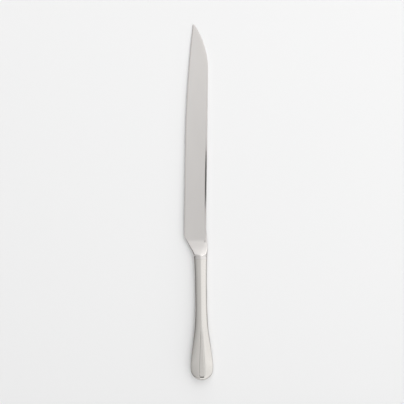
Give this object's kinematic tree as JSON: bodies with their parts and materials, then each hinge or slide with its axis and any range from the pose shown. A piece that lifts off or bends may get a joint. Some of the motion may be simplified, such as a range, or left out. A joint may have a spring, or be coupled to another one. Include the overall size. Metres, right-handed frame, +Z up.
{
  "type": "cake knife",
  "caption": "Long-bladed steel cake knife with a clipped point and a raked heel, a forged bolster, and a slim hollow handle that flares to a rounded, ribbed butt.",
  "frame": {"origin": "middle of the knife's box on the surface that it lies on", "axes": "+Y from the butt of the handle to the point of the blade, +X towards the spine, +Z up through the knife's thickness as it lies on its side"},
  "size_m": [0.0254, 0.32, 0.0091],
  "materials": {
    "blade_steel": "stainless steel, finely ground along the blade and satin polished",
    "handle_steel": "stainless steel, bright polished",
    "handle_cement": "matt set cement, sealed inside the handle"
  },
  "bodies": {
    "root": {"blade": "blade_steel", "upper_handle_shell": "handle_steel", "lower_handle_shell": "handle_steel", "handle_cement": "handle_cement"}
  },
  "joints": []
}
